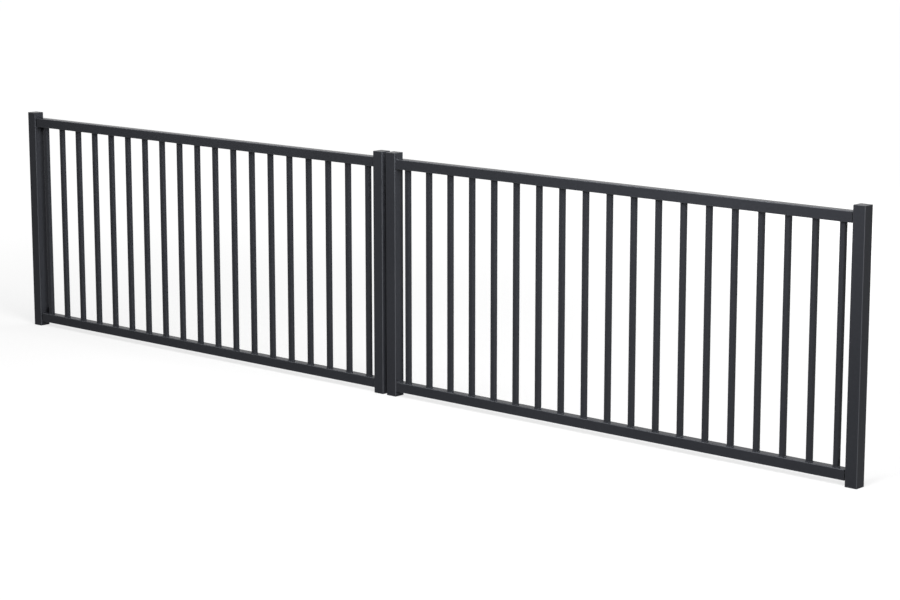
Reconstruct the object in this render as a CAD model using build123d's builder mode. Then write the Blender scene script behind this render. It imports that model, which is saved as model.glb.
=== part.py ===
"""Double-leaf driveway gate of square steel tube: two fixed posts and two barred leaves.

Each leaf has a top rail, a bottom rail, a row of bars and a meeting stile, and swings towards
+Y on two gudgeon-and-strap hinges behind its rails. Millimetres, X along the gate, +Y to the
property side, +Z up, origin at the middle of the left post's foot.
"""
import os

from build123d import *

# Overall sizes
overall_length = 4500.0  # outer face of one post to outer face of the other
upright_height = 1000.0  # posts and meeting stiles, with their end pieces
centre_gap = 20.0  # between the two meeting stiles
foot_projection = 20.0  # upright below the bottom rail
head_projection = 25.0  # upright above the top rail

# Square tubes
upright_width = 50.0
upright_wall = 3.0
upright_corner = 3.0
rail_width = 40.0
rail_wall = 2.0
rail_corner = 3.0
bar_width = 20.0
bar_wall = 1.5
bar_corner = 2.0

# Infill
bars_per_leaf = 19
end_gap = 40.0  # clear space between an upright and the bar beside it
post_clearance = 5.0  # from the free end of a rail to the post

# Tube ends
plug_head = 5.0
plug_rim = 1.2  # bevel round the head's outer face
plug_skirt = 15.0
plug_wall = 2.5
plug_fit = 0.2  # skirt to the inside of the tube, on each side
foot_thickness = 6.0  # steel plate that closes a post

# Hinges
pin_diameter = 12.0
running_clearance = 0.05  # round the pin
axial_play = 0.3  # between an eye and its washer
hinge_reach = 15.0  # post face to pin axis
strap_thickness = 5.0
strap_height = 25.0
strap_length = 150.0  # pin axis to tip
strap_tip = 8.0  # corner radius at the tip
strap_root = 4.0  # rounding where the eye leaves the strap
plate_width = 40.0
plate_height = 84.0
plate_thickness = 6.0
plate_corner = 6.0
boss_diameter = 18.0
boss_height = 26.0
pin_projection = 3.5  # pin beyond the eye
pin_chamfer = 1.5
washer_diameter = 20.0
washer_thickness = 2.0
screw_hole = 8.5
plate_screw_spacing = 60.0
strap_screw_spacing = 70.0
strap_screw_margin = 25.0  # tip to the nearest screw

# Places that follow from the sizes
leaf_length = (overall_length - centre_gap) / 2
stile_x = leaf_length - upright_width
centre_plane = Plane.YZ.offset((overall_length - upright_width) / 2)
post_face = upright_width / 2
stile_face = stile_x - upright_width / 2
rail_start = post_face + post_clearance
bottom_rail_z = foot_projection + rail_width / 2
top_rail_z = upright_height - head_projection - rail_width / 2
middle_plane = Plane.XY.offset((bottom_rail_z + top_rail_z) / 2)
first_bar_x = post_face + end_gap + bar_width / 2
last_bar_x = stile_face - end_gap - bar_width / 2
bar_pitch = (last_bar_x - first_bar_x) / (bars_per_leaf - 1)
bar_foot_z = bottom_rail_z + rail_width / 2
bar_length = top_rail_z - rail_width / 2 - bar_foot_z
bore_radius = pin_diameter / 2 + running_clearance
eye_radius = bore_radius + strap_thickness
pin_x = post_face + hinge_reach
pin_y = rail_width / 2 + eye_radius
eye_low_z = top_rail_z - strap_height / 2
washer_low_z = eye_low_z - axial_play - washer_thickness
boss_low_z = washer_low_z - boss_height


def inner_corner(wall, corner):
    """Inside corner radius of a tube, never sharper than a quarter of its wall."""
    return max(corner - wall, wall / 4)


def square_tube(plane, length, width, wall, corner):
    """A square hollow section drawn on a plane and drawn out along its normal."""
    bore = width - 2 * wall
    with BuildPart() as tube:
        with BuildSketch(plane):
            RectangleRounded(width, width, corner)
            RectangleRounded(bore, bore, inner_corner(wall, corner), mode=Mode.SUBTRACT)
        extrude(amount=length)
    return tube.part


def tube_plug(plane, width, wall, corner):
    """A moulded plug: the plane is the tube's end, its normal points out of the tube."""
    skirt = width - 2 * wall - 2 * plug_fit
    hollow = skirt - 2 * plug_wall
    with BuildPart() as plug:
        with BuildSketch(plane):
            RectangleRounded(width, width, corner)
        extrude(amount=plug_head)
        chamfer(plug.edges().group_by(Axis(plane.origin, plane.z_dir))[-1], plug_rim)
        with BuildSketch(plane) as sleeve:
            Rectangle(skirt, skirt)
            chamfer(sleeve.vertices(), inner_corner(wall, corner))
            Rectangle(hollow, hollow, mode=Mode.SUBTRACT)
        extrude(amount=-plug_skirt)
    return plug.part


def post_foot():
    """The flat steel plate welded into the foot of a post."""
    with BuildPart() as foot:
        with BuildSketch(Plane.XY):
            RectangleRounded(upright_width, upright_width, upright_corner)
        extrude(amount=foot_thickness)
    return foot.part


def bar_row():
    """The upright bars of one leaf, evenly spaced and standing between its rails."""
    bore = bar_width - 2 * bar_wall
    row_middle = (first_bar_x + last_bar_x) / 2
    with BuildPart() as row:
        with BuildSketch(Plane.XY.offset(bar_foot_z)):
            with Locations((row_middle, 0)):
                with GridLocations(bar_pitch, 0, bars_per_leaf, 1):
                    RectangleRounded(bar_width, bar_width, bar_corner)
                    Rectangle(bore, bore, mode=Mode.SUBTRACT)
        extrude(amount=bar_length)
    return row.part


def strap():
    """A flat strap on the back of the top rail, with its end curled into an eye round the pin."""
    strap_y = rail_width / 2 + strap_thickness / 2
    screw_x = pin_x + strap_length - strap_screw_margin - strap_screw_spacing / 2
    root_x = pin_x + (eye_radius**2 - bore_radius**2) ** 0.5
    with BuildPart() as band:
        with BuildSketch(Plane.XY.offset(eye_low_z)) as side:
            with Locations((pin_x, pin_y)):
                Circle(eye_radius)
            with Locations((pin_x + strap_length / 2, strap_y)):
                Rectangle(strap_length, strap_thickness)
            fillet(side.vertices().sort_by_distance((root_x, strap_y + strap_thickness / 2))[0], strap_root)
            with Locations((pin_x, pin_y)):
                Circle(bore_radius, mode=Mode.SUBTRACT)
        extrude(amount=strap_height)
        fillet(band.edges().filter_by(Axis.Y).group_by(Axis.X)[-1], strap_tip)
        with BuildSketch(Plane.XZ.offset(-rail_width / 2)):
            with Locations((screw_x, top_rail_z)):
                with GridLocations(strap_screw_spacing, 0, 2, 1):
                    Circle(screw_hole / 2)
        extrude(amount=-strap_thickness, mode=Mode.SUBTRACT)
    return band.part


def gudgeon():
    """A plate on the back of the post, with an arm that carries a boss and the upright pin."""
    plate_z = boss_low_z + boss_height / 2
    back = Plane.XZ.offset(-post_face)
    pin_length = washer_thickness + axial_play + strap_height + pin_projection
    with BuildPart() as hook:
        with BuildSketch(back):
            with Locations((0, plate_z)):
                RectangleRounded(plate_width, plate_height, plate_corner)
                with GridLocations(0, plate_screw_spacing, 1, 2):
                    Circle(screw_hole / 2, mode=Mode.SUBTRACT)
        extrude(amount=-plate_thickness)
        with BuildSketch(Plane.XY.offset(boss_low_z)):
            with BuildLine():
                Polyline(
                    (0, post_face),
                    (pin_x, post_face),
                    (pin_x, pin_y + boss_diameter / 2),
                    (0, post_face + plate_thickness),
                    close=True,
                )
            make_face()
            with Locations((pin_x, pin_y)):
                Circle(boss_diameter / 2)
        extrude(amount=boss_height)
        with BuildSketch(Plane.XY.offset(washer_low_z)):
            with Locations((pin_x, pin_y)):
                Circle(pin_diameter / 2)
        extrude(amount=pin_length)
        chamfer(hook.edges().group_by(Axis.Z)[-1], pin_chamfer)
    return hook.part


def washer():
    """The thrust washer between the boss and the eye."""
    with BuildPart() as ring:
        with BuildSketch(Plane.XY.offset(washer_low_z)):
            with Locations((pin_x, pin_y)):
                Circle(washer_diameter / 2)
                Circle(bore_radius, mode=Mode.SUBTRACT)
        extrude(amount=washer_thickness)
    return ring.part


def upright(x, foot_depth):
    """The tube of a post or stile, between its foot and its cap."""
    length = upright_height - foot_depth - plug_head
    plane = Plane((x, 0, foot_depth))
    return square_tube(plane, length, upright_width, upright_wall, upright_corner)


def upright_cap(x):
    """The plug in the head of a post or stile."""
    plane = Plane((x, 0, upright_height - plug_head))
    return tube_plug(plane, upright_width, upright_wall, upright_corner)


def stile_foot():
    """The plug in the foot of a meeting stile."""
    plane = Plane((stile_x, 0, plug_head), x_dir=(1, 0, 0), z_dir=(0, 0, -1))
    return tube_plug(plane, upright_width, upright_wall, upright_corner)


def rail(z):
    """The tube of a rail, from its plug beside the post to the face of the meeting stile."""
    start = rail_start + plug_head
    return square_tube(Plane.YZ.offset(start).shift_origin((start, 0, z)), stile_face - start,
                       rail_width, rail_wall, rail_corner)


def rail_plug(z):
    """The plug in the free end of a rail."""
    plane = Plane((rail_start + plug_head, 0, z), x_dir=(0, 1, 0), z_dir=(-1, 0, 0))
    return tube_plug(plane, rail_width, rail_wall, rail_corner)


def flipped(part, plane):
    """A mirror image of a piece."""
    with BuildPart() as image:
        mirror(part, about=plane)
    return image.part


def write(part, name):
    """Labels a piece and writes it to its own file."""
    part.label = name
    export_step(part, f"parts/{name}.step")


top_hinge = {"strap": strap(), "gudgeon": gudgeon(), "washer": washer()}
left_half = {
    "post": upright(0, foot_thickness),
    "post_cap": upright_cap(0),
    "post_foot": post_foot(),
    "stile": upright(stile_x, plug_head),
    "stile_cap": upright_cap(stile_x),
    "stile_foot": stile_foot(),
    "top_rail": rail(top_rail_z),
    "bottom_rail": rail(bottom_rail_z),
    "top_rail_plug": rail_plug(top_rail_z),
    "bottom_rail_plug": rail_plug(bottom_rail_z),
    "bars": bar_row(),
}
for piece, part in top_hinge.items():
    left_half[f"top_{piece}"] = part
    left_half[f"bottom_{piece}"] = flipped(part, middle_plane)

os.makedirs("parts", exist_ok=True)
for piece, part in left_half.items():
    write(part, f"left_{piece}")
    write(flipped(part, centre_plane), f"right_{piece}")
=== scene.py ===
"""Finish and stage for a double-leaf driveway gate of powder-coated square steel tube.

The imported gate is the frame: its tubes, plugs and hinges get their materials here, and the weld
beads and hinge screws are added. Metres, X along the gate, +Y to the property side, Z up.
"""
import math

import bpy
import numpy as np
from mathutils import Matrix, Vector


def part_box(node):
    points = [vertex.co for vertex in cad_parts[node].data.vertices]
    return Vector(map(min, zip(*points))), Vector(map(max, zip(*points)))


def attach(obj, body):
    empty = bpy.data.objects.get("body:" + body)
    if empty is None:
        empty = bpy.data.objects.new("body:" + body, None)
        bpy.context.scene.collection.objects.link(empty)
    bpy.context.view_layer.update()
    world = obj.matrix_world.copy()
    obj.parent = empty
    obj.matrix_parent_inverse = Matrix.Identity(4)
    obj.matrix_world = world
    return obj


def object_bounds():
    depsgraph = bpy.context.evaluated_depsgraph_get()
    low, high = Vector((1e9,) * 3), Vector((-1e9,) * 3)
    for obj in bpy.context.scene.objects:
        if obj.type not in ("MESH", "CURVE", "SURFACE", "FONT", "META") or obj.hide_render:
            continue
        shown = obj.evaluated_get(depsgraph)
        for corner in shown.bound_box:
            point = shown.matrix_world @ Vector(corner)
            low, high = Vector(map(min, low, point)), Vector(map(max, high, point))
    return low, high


bl_info = {
    "name": "Driveway Gate Finish",
    "version": (1, 0, 0),
    "blender": (4, 5, 0),
    "location": "View3D > Sidebar > Gate",
    "description": "Powder coat, moulded plugs, weld beads and hinge screws of a driveway gate",
    "category": "Object",
}

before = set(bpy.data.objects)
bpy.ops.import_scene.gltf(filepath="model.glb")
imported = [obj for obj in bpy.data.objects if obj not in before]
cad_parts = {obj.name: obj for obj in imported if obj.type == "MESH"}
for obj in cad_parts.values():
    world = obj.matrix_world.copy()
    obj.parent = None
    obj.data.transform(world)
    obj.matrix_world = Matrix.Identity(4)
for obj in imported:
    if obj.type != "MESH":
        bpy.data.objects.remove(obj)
CAD_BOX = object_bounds()
SIDES = ("left", "right")
TUBES = ("post", "post_foot", "top_rail", "bottom_rail", "stile")
SLENDER = ("bars", "top_gudgeon", "bottom_gudgeon", "top_strap", "bottom_strap")
MOULDED = ("post_cap", "stile_cap", "stile_foot", "top_rail_plug", "bottom_rail_plug")
PLATED = ("top_washer", "bottom_washer")

# How deep the root of a bead lies inside the metal
BAR_ROOT = 0.0004
RAIL_ROOT = 0.0014
# Edges that stay sharp: turned by more than these angles
BEAD_CREASE = 0.9
SCREW_CREASE = 0.35
# Rise of a direction over which the seen sky goes from white to its own level
SKY_BAND = (0.25, 0.5)


class GateFinish(bpy.types.PropertyGroup):
    """Colours and gloss of the gate's finishes."""

    coat_deep: bpy.props.FloatVectorProperty(
        name="Coat, deep", description="Powder coat where it lies thickest", subtype="COLOR",
        size=3, min=0, max=1, default=(0.0282, 0.0297, 0.0347))
    coat_light: bpy.props.FloatVectorProperty(
        name="Coat, light", description="Powder coat where it lies thinnest", subtype="COLOR",
        size=3, min=0, max=1, default=(0.0335, 0.0353, 0.0411))
    # Painted highlight: a colour much paler than the coat, laid on the uprights' and rails' rounded corners
    coat_corner_highlight: bpy.props.FloatVectorProperty(
        name="Coat, corners", description="Painted highlight along the tubes' rounded corners",
        subtype="COLOR", size=3, min=0, max=1, default=(0.083, 0.087, 0.097))
    coat_gloss: bpy.props.FloatProperty(
        name="Coat gloss", description="Specular level of the powder coat", subtype="FACTOR",
        min=0, max=1, default=0.035)
    plug_gloss: bpy.props.FloatProperty(
        name="Plug gloss", description="Specular level of the moulded plastic", subtype="FACTOR",
        min=0, max=1, default=0.06)
    coat_peel: bpy.props.FloatProperty(
        name="Orange peel", description="Width of the powder coat's ripples", unit="LENGTH",
        min=0.0002, max=0.02, default=0.0022)
    plug_deep: bpy.props.FloatVectorProperty(
        name="Plug, deep", description="Moulded plastic in its grain", subtype="COLOR",
        size=3, min=0, max=1, default=(0.0255, 0.027, 0.0315))
    plug_light: bpy.props.FloatVectorProperty(
        name="Plug, light", description="Moulded plastic on its grain", subtype="COLOR",
        size=3, min=0, max=1, default=(0.0325, 0.034, 0.039))
    # Painted highlight: a pale colour laid on the plugs' bevelled rims
    plug_rim_highlight: bpy.props.FloatVectorProperty(
        name="Plug, rim", description="Painted highlight along the plastic's bevelled rim",
        subtype="COLOR", size=3, min=0, max=1, default=(0.055, 0.058, 0.066))
    zinc_deep: bpy.props.FloatVectorProperty(
        name="Zinc, deep", description="Zinc plate in its darker spangles", subtype="COLOR",
        size=3, min=0, max=1, default=(0.46, 0.47, 0.49))
    zinc_light: bpy.props.FloatVectorProperty(
        name="Zinc, light", description="Zinc plate in its paler spangles", subtype="COLOR",
        size=3, min=0, max=1, default=(0.62, 0.63, 0.64))


class GateWelds(bpy.types.PropertyGroup):
    """Sizes of the weld beads."""

    bars_per_leaf: bpy.props.IntProperty(
        name="Bars per leaf", description="Upright bars in one leaf", min=2, default=19)
    bar_leg: bpy.props.FloatProperty(
        name="Bar bead", description="Leg of the bead round a bar's end", unit="LENGTH", default=0.0028)
    rail_leg: bpy.props.FloatProperty(
        name="Rail bead", description="Leg of the bead round a rail's end", unit="LENGTH", default=0.0036)
    bar_corner: bpy.props.FloatProperty(
        name="Bar corner", description="Corner radius of a bar", unit="LENGTH", default=0.002)
    rail_corner: bpy.props.FloatProperty(
        name="Rail corner", description="Corner radius of a rail", unit="LENGTH", default=0.003)
    ripple_pitch: bpy.props.FloatProperty(
        name="Ripple pitch", description="Length of one ripple of a bead", unit="LENGTH", default=0.0032)
    ripple_depth: bpy.props.FloatProperty(
        name="Ripple depth", description="Depth of a ripple as a share of the leg", subtype="FACTOR",
        min=0, max=0.5, default=0.16)


class GateScrews(bpy.types.PropertyGroup):
    """Sizes and places of the hinge screws."""

    across_flats: bpy.props.FloatProperty(
        name="Across flats", description="Width of the hexagon head", unit="LENGTH", default=0.013)
    head_height: bpy.props.FloatProperty(
        name="Head height", description="Height of the hexagon head", unit="LENGTH", default=0.0053)
    washer_width: bpy.props.FloatProperty(
        name="Washer", description="Diameter of the washer under the head", unit="LENGTH", default=0.016)
    washer_height: bpy.props.FloatProperty(
        name="Washer thickness", description="Thickness of that washer", unit="LENGTH", default=0.0016)
    shank_width: bpy.props.FloatProperty(
        name="Shank", description="Diameter of the screw's shank", unit="LENGTH", default=0.008)
    plate_margin: bpy.props.FloatProperty(
        name="Plate margin", description="End of a gudgeon plate to its screw", unit="LENGTH", default=0.012)
    plate_spacing: bpy.props.FloatProperty(
        name="Plate spacing", description="Between the screws of a gudgeon plate", unit="LENGTH",
        default=0.06)
    plate_height: bpy.props.FloatProperty(
        name="Plate thickness", description="Thickness of a gudgeon plate", unit="LENGTH", default=0.006)
    strap_margin: bpy.props.FloatProperty(
        name="Strap margin", description="Tip of a strap to its nearest screw", unit="LENGTH",
        default=0.025)
    strap_spacing: bpy.props.FloatProperty(
        name="Strap spacing", description="Between the screws of a strap", unit="LENGTH", default=0.07)
    strap_height: bpy.props.FloatProperty(
        name="Strap thickness", description="Thickness of a strap", unit="LENGTH", default=0.005)


class GateStage(bpy.types.PropertyGroup):
    """Floor, lights and camera."""

    floor_colour: bpy.props.FloatVectorProperty(
        name="Floor", description="Colour of the plain floor", subtype="COLOR",
        size=3, min=0, max=1, default=(0.28, 0.28, 0.28))
    floor_near: bpy.props.FloatProperty(
        name="Floor, near", description="White of the floor beside the gate, before the lights",
        subtype="FACTOR", min=0, max=1, default=0.7)
    floor_far: bpy.props.FloatProperty(
        name="Floor, far", description="White of the floor away from the gate", subtype="FACTOR",
        min=0, max=1, default=0.88)
    fade_start: bpy.props.FloatProperty(
        name="Fade start", description="Distance from the gate's middle where the white begins to rise",
        unit="LENGTH", default=1.5)
    fade_end: bpy.props.FloatProperty(
        name="Fade end", description="Distance from the gate's middle where the far white begins",
        unit="LENGTH", default=6.5)
    sky_level: bpy.props.FloatProperty(
        name="Sky level", description="Strength of the even light from above", min=0, default=0.45)
    top_power: bpy.props.FloatProperty(
        name="Top power", description="Power of the soft light overhead", unit="POWER", default=75.0)
    front_power: bpy.props.FloatProperty(
        name="Front power", description="Power of the soft light in front", unit="POWER", default=62.0)
    side_power: bpy.props.FloatProperty(
        name="Side power", description="Power of the soft light from the right", unit="POWER",
        default=290.0)
    left_power: bpy.props.FloatProperty(
        name="Left power", description="Power of the small light at the left post", unit="POWER",
        default=14.0)
    back_power: bpy.props.FloatProperty(
        name="Back power", description="Power of the soft light behind the gate", unit="POWER",
        default=190.0)
    lens: bpy.props.FloatProperty(
        name="Lens", description="Focal length on a 36 mm wide frame", unit="CAMERA", default=96.751)
    camera_place: bpy.props.FloatVectorProperty(
        name="Camera place", description="Where the camera stands", subtype="TRANSLATION", size=3,
        unit="LENGTH", default=(8.826673, -7.098178, 2.204322))
    camera_down: bpy.props.FloatProperty(
        name="Camera tilt", description="How far the camera looks down", unit="ROTATION", default=0.18498)
    camera_turn: bpy.props.FloatProperty(
        name="Camera turn", description="How far the camera turns left of square-on", unit="ROTATION",
        default=0.72335)


class GateSettings(bpy.types.PropertyGroup):
    """All of the gate's settings."""

    finish: bpy.props.PointerProperty(type=GateFinish)
    welds: bpy.props.PointerProperty(type=GateWelds)
    screws: bpy.props.PointerProperty(type=GateScrews)
    stage: bpy.props.PointerProperty(type=GateStage)


def settings():
    """The settings kept on the scene."""
    return bpy.context.scene.gate_settings


def node_box(name):
    """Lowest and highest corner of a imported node, as arrays."""
    low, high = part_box(name)
    return np.array(low), np.array(high)


# Surfaces


def rounded_square(half, corner, count):
    """Even points and outward normals round a square with rounded corners, and its outline's length.

    A quarter of the way round is a straight side and then an arc of 90 degrees; quarter k is the
    first one turned by k right angles.
    """
    side = 2 * (half - corner)
    quarter = side + corner * math.pi / 2
    run = np.linspace(0, 4 * quarter, count, endpoint=False)
    turn = np.floor(run / quarter)
    along = run - turn * quarter
    bend = np.clip((along - side) / corner, 0, math.pi / 2)
    x = half - corner + corner * np.cos(bend)
    y = np.minimum(along, side) - side / 2 + corner * np.sin(bend)
    cos, sin = np.cos(turn * math.pi / 2), np.sin(turn * math.pi / 2)
    heading = bend + turn * math.pi / 2
    points = np.stack([x * cos - y * sin, x * sin + y * cos], axis=1)
    normals = np.stack([np.cos(heading), np.sin(heading)], axis=1)
    return points, normals, 4 * quarter


def ring_faces(rings, around, across):
    """Quads of a number of closed tubes, each a grid that joins up in both directions."""
    ring, i, j = np.meshgrid(np.arange(rings), np.arange(around), np.arange(across), indexing="ij")
    start = ring * around * across
    here, there = i * across, (i + 1) % around * across
    side = (j + 1) % across
    quads = [start + here + j, start + here + side, start + there + side, start + there + j]
    return np.stack(quads, axis=-1).reshape(-1, 4)


def weld_rings(seats, half, corner, leg, root, seed):
    """Weld beads round the ends of square tubes, as one mesh.

    A seat is the middle of the tube's end, the direction along the tube and a side direction. The
    bead's profile runs from the tube's wall to the plate as leg * (sin^p, cos^p), a little rounder
    than a straight fillet, and closes inside the metal. It is carried round the tube's outline, and
    its leg swells as 1 - depth * |cos(pi * run / pitch)|, with one broader lap where the bead began,
    lap_rise * exp(-(distance / lap_reach)^2) in shares of the leg and of the way round.
    """
    welds = settings().welds
    perimeter = rounded_square(half, corner, 8)[2]
    ripples = round(perimeter / welds.ripple_pitch)
    around = 4 * ripples
    points, normals, _ = rounded_square(half, corner, around)
    draw = np.random.default_rng(seed)
    begin = draw.uniform(0, 1, (len(seats), 1))
    share = np.linspace(0, 1, around, endpoint=False)[None, :]
    lap = (share - begin + 0.5) % 1 - 0.5
    swell = 1 - welds.ripple_depth * np.abs(np.cos(math.pi * (share * ripples + begin)))
    lap_rise, lap_reach = 0.12, 0.03
    size = leg * (swell + lap_rise * np.exp(-(lap / lap_reach) ** 2))
    bend = np.linspace(0, math.pi / 2, 5)
    power = 1.55
    out = size[..., None] * np.sin(bend) ** power
    up = size[..., None] * np.cos(bend) ** power
    buried = np.full(size.shape + (1,), -root)
    out = np.concatenate([out, size[..., None], buried, buried], axis=2)
    up = np.concatenate([up, buried, buried, size[..., None]], axis=2)
    middle, axis, aside = (np.array(part, float)[:, None, None, :] for part in zip(*seats))
    across = np.cross(axis, aside)
    flat = points[None, :, None, :] + normals[None, :, None, :] * out[..., None]
    place = middle + aside * flat[..., :1] + across * flat[..., 1:] + axis * up[..., None]
    return place.reshape(-1, 3), ring_faces(len(seats), around, out.shape[2]).tolist()


def hex_screws(seats):
    """Hexagon-head screws with their washers, as one mesh.

    Each is a profile of radius and height turned about its axis in 48 steps. On the head's rows the
    radius is the hexagon's, half the flats / cos(angle from the nearest flat's middle), and at most
    the radius of the chamfer's cone at that height.
    """
    screws = settings().screws
    steps = 48
    angle = np.linspace(0, 2 * math.pi, steps, endpoint=False)
    flat = screws.across_flats / 2
    hexagon = flat / np.cos((angle + math.pi / 6) % (math.pi / 3) - math.pi / 6)
    corner = flat / math.cos(math.pi / 6)
    washer, seat, shank = screws.washer_width / 2, screws.washer_height, screws.shank_width / 2
    top = seat + screws.head_height
    crown = 0.94 * flat
    cone = (corner - crown) * math.tan(math.radians(30))
    edge = 0.0002
    depth = 0.9 * screws.strap_height
    round_rows = [(shank, -depth), (shank, 0), (washer - edge, 0), (washer, edge), (washer, seat - edge),
                  (washer - edge, seat)]
    head_rows = [(corner, seat), (corner, top - cone), ((corner + crown) / 2, top - cone / 2), (crown, top)]
    radius = [np.full(steps, r) for r, _ in round_rows] + [np.minimum(hexagon, r) for r, _ in head_rows]
    radius = np.stack(radius)[None]
    height = np.array([h for _, h in round_rows + head_rows])[None, :, None]
    rows = height.shape[1]
    middle, axis, aside = (np.array(part, float)[:, None, None, :] for part in zip(*seats))
    across = np.cross(axis, aside)
    place = (middle + axis * height[..., None] + aside * (radius * np.cos(angle))[..., None]
             + across * (radius * np.sin(angle))[..., None])
    one, i, j = np.meshgrid(np.arange(len(seats)), np.arange(rows - 1), np.arange(steps), indexing="ij")
    start = one * rows * steps + i * steps
    side = (j + 1) % steps
    quads = np.stack([start + j, start + side, start + steps + side, start + steps + j], axis=-1)
    first = np.arange(len(seats))[:, None] * rows * steps + np.arange(steps)[None, :]
    last = first + (rows - 1) * steps
    return place.reshape(-1, 3), quads.reshape(-1, 4).tolist() + first[:, ::-1].tolist() + last.tolist()


def add_piece(name, points, faces, body, material, crease):
    """A new mesh piece that rides on a body, smooth except along edges sharper than the crease."""
    mesh = bpy.data.meshes.new(name)
    mesh.from_pydata(points.tolist(), [], faces)
    mesh.materials.append(material)
    mesh.shade_smooth()
    mesh.set_sharp_from_angle(angle=crease)
    if mesh.validate():
        raise RuntimeError(f"{name} has faults in its mesh")
    piece = bpy.data.objects.new(name, mesh)
    bpy.context.scene.collection.objects.link(piece)
    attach(piece, body)


# Materials


def grain_group():
    """Shared surface grain: a fine height and two soft masks, all on Object coordinates.

    Peel is a fine noise whose cells are Peel Size wide, Patch is a broad noise and Fleck a middle
    one, each from 0 to 1.
    """
    name = "surface_grain"
    if name in bpy.data.node_groups:
        return bpy.data.node_groups[name]
    group = bpy.data.node_groups.new(name, "ShaderNodeTree")
    for label, default in (("Peel Size", 0.002), ("Patch Size", 0.25), ("Fleck Size", 0.012)):
        socket = group.interface.new_socket(label, in_out="INPUT", socket_type="NodeSocketFloat")
        socket.default_value = default
    for label in ("Peel", "Patch", "Fleck"):
        group.interface.new_socket(label, in_out="OUTPUT", socket_type="NodeSocketFloat")
    nodes, links = group.nodes, group.links
    inside, outside = nodes.new("NodeGroupInput"), nodes.new("NodeGroupOutput")
    place = nodes.new("ShaderNodeTexCoord")
    for mask, detail in (("Peel", 2.0), ("Patch", 3.0), ("Fleck", 2.0)):
        scale = nodes.new("ShaderNodeMath")
        scale.operation = "DIVIDE"
        scale.inputs[0].default_value = 1.0
        noise = nodes.new("ShaderNodeTexNoise")
        noise.inputs["Detail"].default_value = detail
        spread = nodes.new("ShaderNodeMapRange")
        spread.inputs["From Min"].default_value = 0.3
        spread.inputs["From Max"].default_value = 0.7
        links.new(inside.outputs[f"{mask} Size"], scale.inputs[1])
        links.new(place.outputs["Object"], noise.inputs["Vector"])
        links.new(scale.outputs[0], noise.inputs["Scale"])
        links.new(noise.outputs["Fac"], spread.inputs["Value"])
        links.new(spread.outputs["Result"], outside.inputs[mask])
    return group


def corner_group():
    """Shared mask of rounded corners and bevels, from the piece's own normal, where a painted highlight is
    laid.

    It is (1 - largest of |x|, |y| and |z|) / Reach, held between 0 and 1: 0 on faces square to an
    axis, and 1 where a surface is turned well away from every axis.
    """
    name = "thin_corners"
    if name in bpy.data.node_groups:
        return bpy.data.node_groups[name]
    group = bpy.data.node_groups.new(name, "ShaderNodeTree")
    reach = group.interface.new_socket("Reach", in_out="INPUT", socket_type="NodeSocketFloat")
    reach.default_value = 0.12
    group.interface.new_socket("Corner", in_out="OUTPUT", socket_type="NodeSocketFloat")
    nodes, links = group.nodes, group.links
    inside, outside = nodes.new("NodeGroupInput"), nodes.new("NodeGroupOutput")
    place = nodes.new("ShaderNodeTexCoord")
    size = nodes.new("ShaderNodeVectorMath")
    size.operation = "ABSOLUTE"
    parts = nodes.new("ShaderNodeSeparateXYZ")
    larger, largest, rest = (nodes.new("ShaderNodeMath") for _ in range(3))
    larger.operation = largest.operation = "MAXIMUM"
    rest.operation = "SUBTRACT"
    rest.inputs[0].default_value = 1.0
    spread = nodes.new("ShaderNodeMapRange")
    links.new(place.outputs["Normal"], size.inputs[0])
    links.new(size.outputs["Vector"], parts.inputs["Vector"])
    links.new(parts.outputs["X"], larger.inputs[0])
    links.new(parts.outputs["Y"], larger.inputs[1])
    links.new(larger.outputs[0], largest.inputs[0])
    links.new(parts.outputs["Z"], largest.inputs[1])
    links.new(largest.outputs[0], rest.inputs[1])
    links.new(rest.outputs[0], spread.inputs["Value"])
    links.new(inside.outputs["Reach"], spread.inputs["From Max"])
    links.new(spread.outputs["Result"], outside.inputs["Corner"])
    return group


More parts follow.
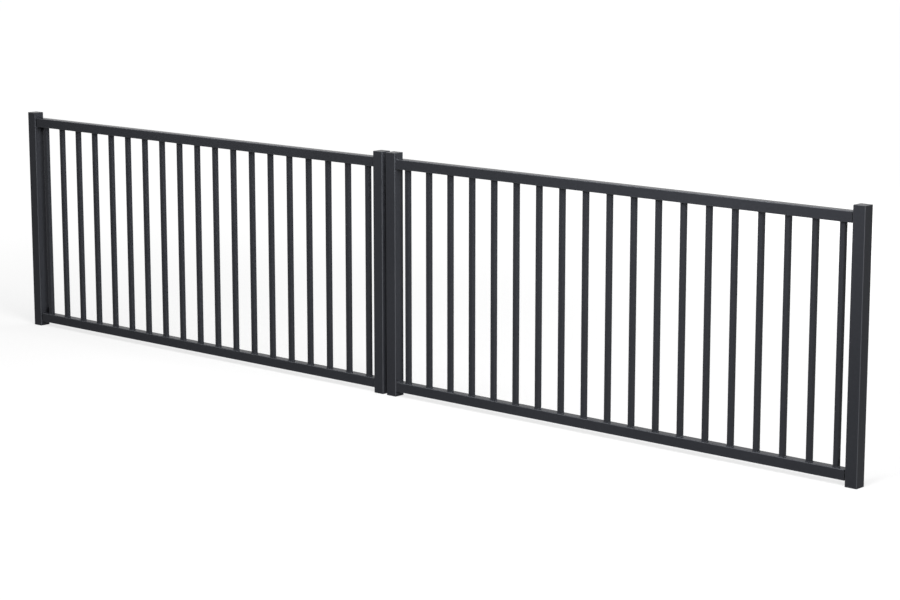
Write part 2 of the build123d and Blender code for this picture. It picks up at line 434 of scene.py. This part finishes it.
def grained_material(name, deep, light, sizes, rough, bump, metallic, gloss, corner=None):
    """A material whose colour, roughness and bump follow the shared grain.

    The sizes are those of its peel, patches and flecks. The colour goes from deep to light with the
    mean of patches and flecks, and on to the corner colour, a painted highlight, where one is given,
    with the corner mask.
    The roughness goes between its two ends with the flecks, and the bump's height is the peel.
    """
    material = bpy.data.materials.new(name)
    material.use_nodes = True
    nodes, links = material.node_tree.nodes, material.node_tree.links
    shader = next(node for node in nodes if node.type == "BSDF_PRINCIPLED")
    shader.inputs["Metallic"].default_value = metallic
    shader.inputs["Specular IOR Level"].default_value = gloss
    grain = nodes.new("ShaderNodeGroup")
    grain.node_tree = grain_group()
    for label, size in zip(("Peel Size", "Patch Size", "Fleck Size"), sizes):
        grain.inputs[label].default_value = size
    colour = nodes.new("ShaderNodeMix")
    colour.data_type = "RGBA"
    colour.inputs["A"].default_value = (*deep, 1.0)
    colour.inputs["B"].default_value = (*light, 1.0)
    sheen = nodes.new("ShaderNodeMapRange")
    sheen.inputs["To Min"].default_value, sheen.inputs["To Max"].default_value = rough
    relief = nodes.new("ShaderNodeBump")
    relief.inputs["Strength"].default_value = 1.0
    relief.inputs["Distance"].default_value = bump
    both = nodes.new("ShaderNodeMath")
    both.operation = "MULTIPLY_ADD"
    both.inputs[1].default_value = 0.5
    half = nodes.new("ShaderNodeMath")
    half.operation = "MULTIPLY"
    half.inputs[1].default_value = 0.5
    links.new(grain.outputs["Fleck"], half.inputs[0])
    links.new(grain.outputs["Patch"], both.inputs[0])
    links.new(half.outputs[0], both.inputs[2])
    links.new(both.outputs[0], colour.inputs["Factor"])
    shade = colour.outputs["Result"]
    # Painted highlight: the pale corner colour laid on rounded corners and bevels by the corner mask
    if corner is not None:
        mask = nodes.new("ShaderNodeGroup")
        mask.node_tree = corner_group()
        painted_highlight = nodes.new("ShaderNodeMix")
        painted_highlight.data_type = "RGBA"
        painted_highlight.inputs["B"].default_value = (*corner, 1.0)
        links.new(mask.outputs["Corner"], painted_highlight.inputs["Factor"])
        links.new(shade, painted_highlight.inputs["A"])
        shade = painted_highlight.outputs["Result"]
    links.new(shade, shader.inputs["Base Color"])
    links.new(grain.outputs["Fleck"], sheen.inputs["Value"])
    links.new(sheen.outputs["Result"], shader.inputs["Roughness"])
    links.new(grain.outputs["Peel"], relief.inputs["Height"])
    links.new(relief.outputs["Normal"], shader.inputs["Normal"])
    return material


def steel_coat(name, corner=None):
    """Satin anthracite powder coat with a fine orange peel."""
    finish = settings().finish
    return bpy.data.materials.get(name) or grained_material(
        name, finish.coat_deep, finish.coat_light, sizes=(finish.coat_peel, 0.35, 0.012),
        rough=(0.20, 0.27), bump=0.00002, metallic=0.0, gloss=finish.coat_gloss, corner=corner)


def powder_coat():
    """The powder coat of uprights and rails, with a painted highlight along their rounded corners."""
    return steel_coat("powder_coat", settings().finish.coat_corner_highlight)


def even_coat():
    """The same powder coat on bars, hinge irons and weld beads, with no painted highlight on their corners.
    """
    return steel_coat("even_coat")


def moulded_plastic():
    """Matt moulded plastic with a spark-eroded grain and a painted highlight on its bevelled rims."""
    finish = settings().finish
    return bpy.data.materials.get("moulded_plastic") or grained_material(
        "moulded_plastic", finish.plug_deep, finish.plug_light, sizes=(0.0009, 0.02, 0.006),
        rough=(0.24, 0.33), bump=0.00004, metallic=0.0, gloss=finish.plug_gloss, corner=finish.plug_rim_highlight)


def zinc_plate():
    """Bright zinc plate with a faint spangle."""
    finish = settings().finish
    return bpy.data.materials.get("zinc_plate") or grained_material(
        "zinc_plate", finish.zinc_deep, finish.zinc_light, sizes=(0.0006, 0.003, 0.0015),
        rough=(0.24, 0.38), bump=0.00001, metallic=1.0, gloss=0.5)


def dress(pieces, material):
    """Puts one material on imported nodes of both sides."""
    for side in SIDES:
        for piece in pieces:
            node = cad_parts[f"{side}_{piece}"]
            for slot in node.material_slots:
                slot.material = material


# Operators


class GATE_OT_coat_steel(bpy.types.Operator):
    """Powder-coats the tubes, bars, post feet and hinge irons"""

    bl_idname = "gate.coat_steel"
    bl_label = "Coat Steel"

    def execute(self, context):
        dress(TUBES, powder_coat())
        dress(SLENDER, even_coat())
        return {"FINISHED"}


class GATE_OT_finish_plugs(bpy.types.Operator):
    """Gives the caps, stile feet and rail plugs their moulded plastic"""

    bl_idname = "gate.finish_plugs"
    bl_label = "Finish Plugs"

    def execute(self, context):
        dress(MOULDED, moulded_plastic())
        return {"FINISHED"}


class GATE_OT_plate_washers(bpy.types.Operator):
    """Zinc-plates the thrust washers of the hinges"""

    bl_idname = "gate.plate_washers"
    bl_label = "Plate Washers"

    def execute(self, context):
        dress(PLATED, zinc_plate())
        return {"FINISHED"}


class GATE_OT_weld_bars(bpy.types.Operator):
    """Runs a weld bead round both ends of every bar"""

    bl_idname = "gate.weld_bars"
    bl_label = "Weld Bars"

    def execute(self, context):
        welds = settings().welds
        for seed, side in enumerate(SIDES):
            low, high = node_box(f"{side}_bars")
            half = (high[1] - low[1]) / 2
            row = np.linspace(low[0] + half, high[0] - half, welds.bars_per_leaf)
            seats = [((x, 0, low[2]), (0, 0, 1), (1, 0, 0)) for x in row]
            seats += [((x, 0, high[2]), (0, 0, -1), (1, 0, 0)) for x in row]
            points, faces = weld_rings(seats, half, welds.bar_corner, welds.bar_leg, BAR_ROOT, seed)
            add_piece(f"{side}_bar_welds", points, faces, f"{side}_leaf", even_coat(),
                      BEAD_CREASE)
        return {"FINISHED"}


class GATE_OT_weld_rails(bpy.types.Operator):
    """Runs a weld bead round each rail where it meets the stile"""

    bl_idname = "gate.weld_rails"
    bl_label = "Weld Rails"

    def execute(self, context):
        welds = settings().welds
        for seed, side in enumerate(SIDES, start=10):
            seats = []
            for rail in ("top_rail", "bottom_rail"):
                low, high = node_box(f"{side}_{rail}")
                half = (high[1] - low[1]) / 2
                end, along = (high[0], -1) if side == "left" else (low[0], 1)
                seats.append(((end, 0, (low[2] + high[2]) / 2), (along, 0, 0), (0, 0, 1)))
            points, faces = weld_rings(seats, half, welds.rail_corner, welds.rail_leg, RAIL_ROOT, seed)
            add_piece(f"{side}_rail_welds", points, faces, f"{side}_leaf", even_coat(),
                      BEAD_CREASE)
        return {"FINISHED"}


class GATE_OT_fit_hinge_screws(bpy.types.Operator):
    """Fits the hexagon screws of the gudgeon plates and straps"""

    bl_idname = "gate.fit_hinge_screws"
    bl_label = "Fit Hinge Screws"

    def execute(self, context):
        screws = settings().screws
        plate_steps = (screws.plate_margin, screws.plate_margin + screws.plate_spacing)
        strap_steps = (screws.strap_margin, screws.strap_margin + screws.strap_spacing)
        for side, inward in zip(SIDES, (1, -1)):
            post_low, post_high = node_box(f"{side}_post")
            plates, straps = [], []
            for level, end, up in (("top", 0, 1), ("bottom", 1, -1)):
                edge = node_box(f"{side}_{level}_gudgeon")[end][2]
                back = post_high[1] + screws.plate_height
                middle = (post_low[0] + post_high[0]) / 2
                plates += [(middle, back, edge + up * step) for step in plate_steps]
                low, high = node_box(f"{side}_{level}_strap")
                tip = high[0] if inward > 0 else low[0]
                face = low[1] + screws.strap_height
                straps += [(tip - inward * step, face, (low[2] + high[2]) / 2) for step in strap_steps]
            for name, body, middles, turn in (("gudgeon", "posts", plates, 3.0),
                                              ("strap", f"{side}_leaf", straps, 11.0)):
                seats = [(middle, (0, 1, 0), (math.cos(turn * k), 0, math.sin(turn * k)))
                         for k, middle in enumerate(middles)]
                points, faces = hex_screws(seats)
                add_piece(f"{side}_{name}_screws", points, faces, body, zinc_plate(),
                          SCREW_CREASE)
        return {"FINISHED"}


# Stage


def seen_white(tree):
    """A mask that is 1 for camera, glossy and transmission rays and 0 for the light that rays carry."""
    path = tree.nodes.new("ShaderNodeLightPath")
    seen = path.outputs["Is Camera Ray"]
    for ray in ("Is Glossy Ray", "Is Transmission Ray"):
        either = tree.nodes.new("ShaderNodeMath")
        either.operation = "MAXIMUM"
        tree.links.new(seen, either.inputs[0])
        tree.links.new(path.outputs[ray], either.inputs[1])
        seen = either.outputs[0]
    return seen


def soft_light(name, place, target, width, height, power):
    """A soft area light at a place, turned to a target."""
    data = bpy.data.lights.new(name, "AREA")
    data.shape = "RECTANGLE"
    data.size, data.size_y = width, height
    data.energy = power
    lamp = bpy.data.objects.new(name, data)
    bpy.context.scene.collection.objects.link(lamp)
    lamp.location = place
    lamp.visible_camera = False
    aim = np.array(target, float) - np.array(place, float)
    flat = math.hypot(aim[0], aim[1])
    lamp.rotation_euler = (math.atan2(flat, -aim[2]), 0, math.atan2(-aim[0], aim[1]))


class GATE_OT_set_stage(bpy.types.Operator):
    """Lays the pale floor, sets the soft lights and stands the camera"""

    bl_idname = "gate.set_stage"
    bl_label = "Set Stage"

    def execute(self, context):
        stage = settings().stage
        scene = context.scene
        scene.view_settings.view_transform = "Standard"
        self.lay_floor(scene, stage)
        self.light(scene, stage)
        data = bpy.data.cameras.new("gate_camera")
        data.sensor_width = 36.0
        data.lens = stage.lens
        data.clip_end = 500.0
        camera = bpy.data.objects.new("gate_camera", data)
        scene.collection.objects.link(camera)
        camera.location = stage.camera_place
        camera.rotation_euler = (math.pi / 2 - stage.camera_down, 0, stage.camera_turn)
        scene.camera = camera
        return {"FINISHED"}

    def lay_floor(self, scene, stage):
        """A wide square of plain floor at the level of the post feet.

        It is a plain matt colour under the lights, and to the camera it also shows a white that rises
        smoothly from near to far with the distance from the gate's middle.
        """
        reach = 90.0
        corners = np.array([(-reach, -reach, 0), (reach, -reach, 0), (reach, reach, 0), (-reach, reach, 0)])
        mesh = bpy.data.meshes.new("floor")
        mesh.from_pydata(corners.tolist(), [], [(0, 1, 2, 3)])
        floor = bpy.data.objects.new("floor", mesh)
        scene.collection.objects.link(floor)
        material = bpy.data.materials.new("floor")
        material.use_nodes = True
        tree = material.node_tree
        nodes, links = tree.nodes, tree.links
        nodes.clear()
        plain = nodes.new("ShaderNodeBsdfDiffuse")
        plain.inputs["Color"].default_value = (*stage.floor_colour, 1.0)
        place = nodes.new("ShaderNodeTexCoord")
        away = nodes.new("ShaderNodeVectorMath")
        away.operation = "DISTANCE"
        away.inputs[1].default_value = ((CAD_BOX[0][0] + CAD_BOX[1][0]) / 2, 0, 0)
        fade = nodes.new("ShaderNodeMapRange")
        fade.interpolation_type = "SMOOTHSTEP"
        fade.inputs["From Min"].default_value = stage.fade_start
        fade.inputs["From Max"].default_value = stage.fade_end
        fade.inputs["To Min"].default_value = stage.floor_near
        fade.inputs["To Max"].default_value = stage.floor_far
        level = nodes.new("ShaderNodeMath")
        level.operation = "MULTIPLY"
        white = nodes.new("ShaderNodeEmission")
        both = nodes.new("ShaderNodeAddShader")
        out = nodes.new("ShaderNodeOutputMaterial")
        links.new(place.outputs["Object"], away.inputs[0])
        links.new(away.outputs["Value"], fade.inputs["Value"])
        links.new(fade.outputs["Result"], level.inputs[0])
        links.new(seen_white(tree), level.inputs[1])
        links.new(level.outputs[0], white.inputs["Strength"])
        links.new(plain.outputs[0], both.inputs[0])
        links.new(white.outputs[0], both.inputs[1])
        links.new(both.outputs[0], out.inputs["Surface"])
        mesh.materials.append(material)

    def light(self, scene, stage):
        """An even sky, seen as white round the horizon, and soft lights."""
        world = bpy.data.worlds.new("studio")
        world.use_nodes = True
        tree = world.node_tree
        back = next(node for node in tree.nodes if node.type == "BACKGROUND")
        back.inputs["Color"].default_value = (1.0, 1.0, 1.0, 1.0)
        way = tree.nodes.new("ShaderNodeTexCoord")
        parts = tree.nodes.new("ShaderNodeSeparateXYZ")
        level = tree.nodes.new("ShaderNodeMapRange")
        level.interpolation_type = "SMOOTHSTEP"
        level.inputs["From Min"].default_value, level.inputs["From Max"].default_value = SKY_BAND
        level.inputs["To Min"].default_value = 1.0
        level.inputs["To Max"].default_value = stage.sky_level
        shown = tree.nodes.new("ShaderNodeMix")
        shown.inputs["A"].default_value = stage.sky_level
        tree.links.new(way.outputs["Generated"], parts.inputs["Vector"])
        tree.links.new(parts.outputs["Z"], level.inputs["Value"])
        tree.links.new(seen_white(tree), shown.inputs["Factor"])
        tree.links.new(level.outputs["Result"], shown.inputs["B"])
        tree.links.new(shown.outputs["Result"], back.inputs["Strength"])
        scene.world = world
        middle = (2.4, 0, 0.5)
        soft_light("overhead", (4.2, -0.8, 4.0), middle, 1.8, 1.2, stage.top_power)
        soft_light("front", (4.4, -1.6, 2.2), (1.0, 0, 0.5), 1.6, 1.0, stage.front_power)
        soft_light("side", (13.0, -5.0, 2.5), middle, 2.6, 2.0, stage.side_power)
        soft_light("left", (1.4, -0.8, 2.1), (0, 0, 0.5), 1.2, 0.8, stage.left_power)
        soft_light("back", (3.4, 6.0, 1.7), middle, 3.6, 1.6, stage.back_power)


class GATE_PT_panel(bpy.types.Panel):
    """Lists the steps that finish the gate"""

    bl_idname = "GATE_PT_panel"
    bl_label = "Driveway Gate"
    bl_space_type = "VIEW_3D"
    bl_region_type = "UI"
    bl_category = "Gate"

    def draw(self, context):
        layout = self.layout
        for step in STEPS:
            layout.operator(step.bl_idname)
        gate = context.scene.gate_settings
        for group in (gate.finish, gate.welds, gate.screws, gate.stage):
            box = layout.box()
            for label in group.bl_rna.properties.keys():
                if label not in ("rna_type", "name"):
                    box.prop(group, label)


STEPS = (GATE_OT_coat_steel, GATE_OT_finish_plugs, GATE_OT_plate_washers, GATE_OT_weld_bars,
         GATE_OT_weld_rails, GATE_OT_fit_hinge_screws, GATE_OT_set_stage)
CLASSES = (GateFinish, GateWelds, GateScrews, GateStage, GateSettings) + STEPS + (GATE_PT_panel,)


def register():
    """Registers the classes and puts the settings on the scene."""
    for cls in CLASSES:
        bpy.utils.register_class(cls)
    bpy.types.Scene.gate_settings = bpy.props.PointerProperty(type=GateSettings)


def unregister():
    """Takes the settings and the classes away again."""
    del bpy.types.Scene.gate_settings
    for cls in reversed(CLASSES):
        bpy.utils.unregister_class(cls)


def main():
    """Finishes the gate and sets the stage."""
    register()
    bpy.ops.gate.coat_steel()
    bpy.ops.gate.finish_plugs()
    bpy.ops.gate.plate_washers()
    bpy.ops.gate.weld_bars()
    bpy.ops.gate.weld_rails()
    bpy.ops.gate.fit_hinge_screws()
    bpy.ops.gate.set_stage()


if __name__ == "__main__":
    main()
